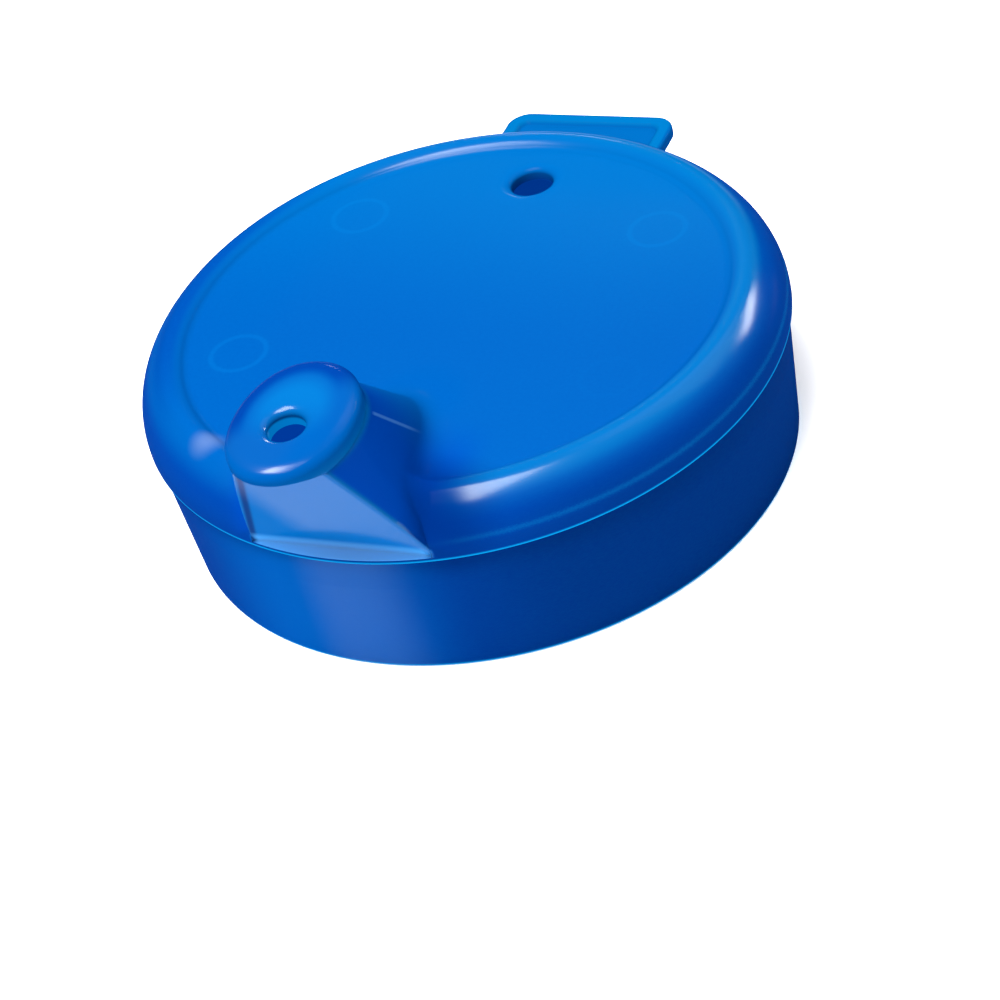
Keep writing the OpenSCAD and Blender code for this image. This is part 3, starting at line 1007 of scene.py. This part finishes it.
class Masks:
    """Shares of the places that the spout's colour, gloss and glow depend on."""

    def __init__(self, shader, place):
        x, y, z, r = place
        depth = (y - FACE_Y) * math.cos(FACE_LEAN) + (z - LIP_H) * math.sin(FACE_LEAN)
        face = depth.before(FACE_SKIN) * z.past(FACE_FOOT) * z.before(FACE_TOP)
        self.face = face * x.size().before(FACE_SIDES)
        flank = y.before(FLANK_BACK) * z.before(FLANK_TOP) * depth.past(FLANK_SKIN)
        self.flank = flank * x.size().past(FLANK_IN) * x.size().before(FLANK_OUT) * z.past(FLANK_FOOT)
        across, along = x / MOUTH_HALF, (y + MOUTH_OUT) / MOUTH_LONG
        self.rim = (across * across + along * along).root()
        self.mouth = z.past(MOUTH_RISE)
        # Painted shade in the hollow between the spout and the rim; it also dulls the gloss there
        self.pocket_shade = shader.distance(x, y, z, POCKET_AT).before(POCKET_SIZE) * POCKET_SHARE
        self.back_left = (y - x * DARK_SLANT + MOUTH_OUT).past(DARK_SIDE)
        # The ledge before the flat face, which gets painted light
        ledge = z.before(LEDGE_TOP) * z.past(LEDGE_FOOT) * y.before(LEDGE_FRONT)
        self.ledge = ledge * x.size().before(LEDGE_SIDES)
        # The lip's edge and the skirt's foot, which get painted light
        lip = z.before(LIP_TOP) * z.past(LIP_FOOT) * r.past(LIP_OUT)
        self.edge = lip + z.before(SKIRT_FOOT)


def spout_tone(shader, place, masks, tone):
    """Painted shade on the flanks and in the hollows beside them, painted light on the face and the
    mouthpiece.
    """
    x, y, z, r = place
    face, rim, mouth = masks.face, masks.rim, masks.mouth
    # Painted shade on the spout's flanks
    tone = shader.mix(masks.flank, tone, FLANK_SHADE_TONE)
    # Painted shade in the hollow beside the spout
    tone = shader.mix(masks.pocket_shade * (1 - face), tone, DEEP_SHADE_TONE)
    # Painted light on the mouthpiece
    tone = shader.mix(z.past(MOUTH_BLUE), tone, MOUTH_LIT_TONE)
    # Painted light on the flat face
    tone = shader.mix(face, tone, FACE_LIT_TONE)
    # Painted light on the middle of the mouthpiece's face
    tone = shader.mix((y - x * LIGHT_SLANT).past(LIGHT_SIDE) * rim.before(LIGHT_RIM) * mouth, tone, FAR_LIT_TONE)
    # Painted shade on the back left of the mouthpiece's rolled edge
    tone = shader.mix(rim.past(DARK_RIM) * mouth * masks.back_left, tone, RIM_SHADE_TONE)
    # Painted shade along the left edge of the flat face
    corner = (x + CORNER_FOOT - (z - LIP_H) * CORNER_SLANT).size().before(CORNER_LINE)
    return shader.mix(corner * face * CORNER_SHARE_DARK, tone, DEEP_SHADE_TONE)


def bright_lines(shader, place, masks, tone):
    """Painted highlights: the ridge down the spout's right side, a soft spot on the crest, and painted light
    on the thin bright edges.
    """
    x, y, z, r = place
    # A painted highlight line along the ridge down the spout's right side
    ridge = (x * RIDGE_AXIS[0] + y * RIDGE_AXIS[1] + z * RIDGE_AXIS[2] + RIDGE_AT).size().before(RIDGE_LINE)
    ridge = ridge * x.past(RIDGE_RIGHT) * z.past(RIDGE_FOOT) * z.before(RIDGE_TOP)
    tone = shader.mix(ridge * RIDGE_SHARE, tone, RIDGE_HIGHLIGHT_TONE)
    # A painted highlight spot on the crest left of the spout
    spot = shader.distance(x, y, z, SPOT_AT).before(SPOT_SIZE)
    tone = shader.mix(spot * SPOT_SHARE, tone, SPOT_HIGHLIGHT_TONE)
    # Painted light on the thin edges and the ledge
    return shader.mix(either(masks.edge, masks.ledge), tone, EDGE_TONE)


# Bands and shares of the gloss
GLOSS, GLOSS_RISE, GLOSS_LEFT, BASE_GLOSS = 0.38, (3.4, 6.0), (-25.0, -17.0), 0.005
CROWN_OUT, CROWN_RISE, CROWN_SHARE, PANEL_SHARE = (30.9, 31.7), (8.0, 12.0), 0.7, 0.3
HEEL_AT, HEEL_SIZE = (2.0, -16.0, 6.0), (4.0, 6.5)
DULL_LEFT, DULL_FRONT = (-17.0, -12.0), (-15.0, -5.0)
DULL_OUT, DULL_BACK = (33.4, 34.4), (4.0, 12.0)
FAR_BACK, FAR_RIGHT, FAR_DULL = (18.0, 26.0), (-14.0, 2.0), 0.75
POCKET_DULL, COLUMN_FOOT, COLUMN_DULL = (0.42, 0.7), (6.7, 7.2), 0.95
LIP_RISE = (0.9, 1.5)
RIM_OUTER, RIM_BACK, RIM_BACK_DULL = (0.9, 0.97), (0.62, 0.75), 0.85
RIM_RIGHT, RIM_FRONT, RIM_RIGHT_DULL = (0.5, 3.5), (-40.0, -36.0), 0.85
RIM_SHINE_FROM, RIM_SHINE = (-41.0, -39.0), 0.8
FACE_SLANT, FACE_STREAK, FACE_GLOSS, FACE_BASE = 0.45, (-3.5, 1.5), 0.22, 0.02
STREAK_AT, STREAK_SIDES, STREAK_BACK, STREAK_GLOSS = 0.5, (2.0, 8.0), (-34.0, -26.0), 0.17


def rim_gloss(shader, place, masks):
    """Gloss of the rim's crest, dulled at its left, its outer back and next to the spout."""
    x, y, z, r = place
    crown = either(r.past(CROWN_OUT), z.past(CROWN_RISE)) * CROWN_SHARE + PANEL_SHARE
    heel = shader.distance(x, y, z, HEEL_AT).before(HEEL_SIZE)
    left = x.before(DULL_LEFT) * y.before(DULL_FRONT)
    far = 1 - r.past(DULL_OUT) * y.past(DULL_BACK)
    far = far * (1 - y.past(FAR_BACK) * x.past(FAR_RIGHT) * FAR_DULL)
    gloss = z.past(GLOSS_RISE) * crown * far * x.past(GLOSS_LEFT) * (1 - heel) * (1 - left) * GLOSS
    return gloss * (1 - masks.flank) * (1 - masks.face) * (1 - masks.pocket_shade.past(POCKET_DULL))


def mouth_gloss(place, masks, gloss):
    """Gloss of the mouthpiece: on its face and the front left of its rolled edge."""
    x, y, z, r = place
    mouth, rim = masks.mouth, masks.rim
    lip = (z - mouth_at[2] - (y + MOUTH_OUT) * math.tan(MOUTH_TILT)).past(LIP_RISE)
    gloss = gloss * (1 - z.past(COLUMN_FOOT) * (1 - lip) * COLUMN_DULL)
    front_right = x.past(RIM_RIGHT) * y.before(RIM_FRONT)
    dull = either(either(1 - lip, rim.past(RIM_OUTER)), front_right * RIM_RIGHT_DULL)
    gloss = gloss * (1 - mouth * dull)
    gloss = gloss * (1 - mouth * masks.back_left * rim.past(RIM_BACK) * RIM_BACK_DULL)
    return gloss * (mouth * y.before(RIM_SHINE_FROM) * RIM_SHINE + 1)


def front_gloss(place, masks):
    """The pale streaks down the flat face and down the front of the skirt."""
    x, y, z, r = place
    streak = (x - STREAK_AT).size().before(STREAK_SIDES) * z.before(BELOW_LIP) * y.before(STREAK_BACK)
    face = masks.face * ((x + z * FACE_SLANT).past(FACE_STREAK) * FACE_GLOSS + FACE_BASE)
    return face, streak * STREAK_GLOSS


CAVE_OUT, CAVE_TOP = (34.1, 34.3), (3.9, 4.2)
WELL_SIZE, WELL_TOP, WELL_FOOT = (2.0, 2.35), (18.7, 19.1), (17.0, 17.2)


def light_inside(shader, place, masks):
    """A painted glow for light through the plastic: in the cave under the lid, at thin edges and in the
    drinking hole.
    """
    x, y, z, r = place
    cave = r.before(CAVE_OUT) * z.before(CAVE_TOP)
    glow = shader.mix(cave, NO_GLOW, CAVE_GLOW)
    glow = shader.mix(masks.edge, glow, EDGE_GLOW)
    glow = shader.mix(masks.ledge, glow, LEDGE_GLOW)
    well = shader.distance_from_axis(x, y, z).before(WELL_SIZE) * z.before(WELL_TOP)
    return shader.mix(well * z.past(WELL_FOOT), glow, WELL_GLOW)


ROUGHNESS, ROUGHNESS_SWING, COAT_ROUGHNESS = 0.3, 0.08, 0.18
HOLLOW_GRAIN, HOLLOW_ROUGHNESS = 0.2, 0.5


def lid_plastic():
    """Blue translucent plastic in the lid's own frame, with painted light on its thin edges and painted
    shade beside the spout.
    """
    shader = Shader("lid_plastic")
    x, y, z = shader.place_mm()
    place = x, y, z, (x * x + y * y).root()
    noise = shader.grain(GRAIN_SCALE)
    masks = Masks(shader, place)
    tone = spout_tone(shader, place, masks, skin_tone(shader, place, noise))
    tone = bright_lines(shader, place, masks, tone)
    face, streak = front_gloss(place, masks)
    gloss = mouth_gloss(place, masks, rim_gloss(shader, place, masks)) + face + streak + BASE_GLOSS
    roughness = noise * ROUGHNESS_SWING + ROUGHNESS
    return shader.finish(Base_Color=tone, Roughness=roughness, Specular_IOR_Level=0.0,
                         Coat_Weight=gloss, Coat_Roughness=COAT_ROUGHNESS,
                         Emission_Color=light_inside(shader, place, masks), Emission_Strength=1.0)


def hollow_plastic():
    """The inside of the spout, in painted shade with a painted glow for light through the plastic."""
    shader = Shader("hollow_plastic")
    noise = shader.grain(GRAIN_SCALE)
    # Painted shade, varied at random
    tone = shader.mix(noise * HOLLOW_GRAIN, DEEP_SHADE_TONE, WALL_SHADE_TONE)
    return shader.finish(Base_Color=tone, Roughness=HOLLOW_ROUGHNESS, Specular_IOR_Level=0.0,
                         Emission_Color=PASSAGE_GLOW, Emission_Strength=1.0)


def make_lid():
    lid = [lid_plastic()]
    spout = lid + [hollow_plastic()]
    place(plug_skirt(), lid, "plug_skirt")
    place(lip_flange(), lid, "lip_flange")
    place(rim_shoulder(), lid, "rim_shoulder")
    place(rim_crest(), lid, "rim_crest")
    place(top_panel(), lid, "top_panel")
    place(vent_collar(), lid, "vent_collar")
    bands = spout_bands()
    ring = len(foot)
    place(build("column", *part_of_ring(bands, 0, SIDE), hollow=(2, 3)), spout, "spout_body")
    place(build("front_face", *part_of_ring(bands, SIDE, ring), hollow=(2, 3)), spout, "spout_face")
    outside, seam = mouth_outside()
    place(spout_mouthpiece(outside, seam), spout, "spout_mouthpiece")
    place(drink_collar(outside, seam), spout, "drink_collar")
    place(pull_tab(), lid, "pull_tab")
    place(tab_grip_bead(), lid, "tab_grip_bead")


# ---------------------------------------------------------------- studio

FLOOR_HALF = 1.2
FLOOR_TONES = ((0.86, 0.86, 0.86, 1), (0.9, 0.9, 0.9, 1))
FLOOR_GRAIN = 400.0
FLOOR_ROUGHNESS = 0.8
FLOOR_GLOW = 0.35
WORLD_LIGHT = 0.08

# Each lamp's name, place in metres, width and depth in metres, and power in watts; all face the lid
LAMPS = (
    ("overhead", (-0.05, -0.19, 0.60), (0.44, 0.32), 11.6),
    ("back_right", (0.30, 0.444, 0.24), (0.16, 0.07), 1.2),
    ("fill", (0.30, 0.40, 0.70), (0.6, 0.6), 1.0),
    ("back_left", (-0.21, 0.51, 0.216), (0.06, 0.05), 0.32),
)


def floor():
    half, z = FLOOR_HALF, FOOT_Z * MM
    mesh = bpy.data.meshes.new("floor")
    corners = [(-half, -half, z), (half, -half, z), (half, half, z), (-half, half, z)]
    mesh.from_pydata(corners, [], [(0, 1, 2, 3)])
    piece = bpy.data.objects.new("floor", mesh)
    bpy.context.scene.collection.objects.link(piece)
    shader = Shader("pale_floor")
    tone = shader.mix(shader.grain(FLOOR_GRAIN), *FLOOR_TONES)
    mesh.materials.append(shader.finish(Base_Color=tone, Roughness=FLOOR_ROUGHNESS, Specular_IOR_Level=0.0,
                                        Emission_Color=(1, 1, 1, 1), Emission_Strength=FLOOR_GLOW))


def softbox(name, place_at, size, power):
    light = bpy.data.lights.new(name, "AREA")
    light.shape = "RECTANGLE"
    light.size, light.size_y = size
    light.energy = power
    lamp = bpy.data.objects.new(name, light)
    lamp.location = place_at
    lamp.rotation_mode = "QUATERNION"
    lamp.rotation_quaternion = (-Vector(place_at)).to_track_quat("-Z", "Y")
    bpy.context.scene.collection.objects.link(lamp)


def studio():
    world = bpy.data.worlds.new("studio")
    world.use_nodes = True
    background = world.node_tree.nodes["Background"].inputs
    background["Color"].default_value = (1, 1, 1, 1)
    background["Strength"].default_value = WORLD_LIGHT
    bpy.context.scene.world = world
    bpy.context.scene.view_settings.view_transform = "Standard"
    for lamp in LAMPS:
        softbox(*lamp)


SENSOR, LENS = 36.0, 118.5
VIEW_TURN, VIEW_DROP, VIEW_ROLL = math.radians(30.66), math.radians(37.56), math.radians(-15.2)
VIEW_AIM = Vector((4.76, -9.4, -13.99)) * MM
VIEW_DISTANCE = 0.3691
CLIP_START = 0.01


def camera():
    """Looks down on the spout's side from the front right, rolled so that the lid leans to the left."""
    data = bpy.data.cameras.new("camera")
    data.sensor_width = SENSOR
    data.lens = LENS
    data.clip_start = CLIP_START
    level = math.cos(VIEW_DROP)
    back = Vector((math.sin(VIEW_TURN) * level, -math.cos(VIEW_TURN) * level, math.sin(VIEW_DROP)))
    lens = bpy.data.objects.new("camera", data)
    lens.location = VIEW_AIM + back * VIEW_DISTANCE
    lens.rotation_mode = "QUATERNION"
    roll = Matrix.Rotation(VIEW_ROLL, 4, "Z").to_quaternion()
    lens.rotation_quaternion = (-back).to_track_quat("-Z", "Y") @ roll
    bpy.context.scene.collection.objects.link(lens)
    bpy.context.scene.camera = lens


camera()
floor()
studio()
make_lid()
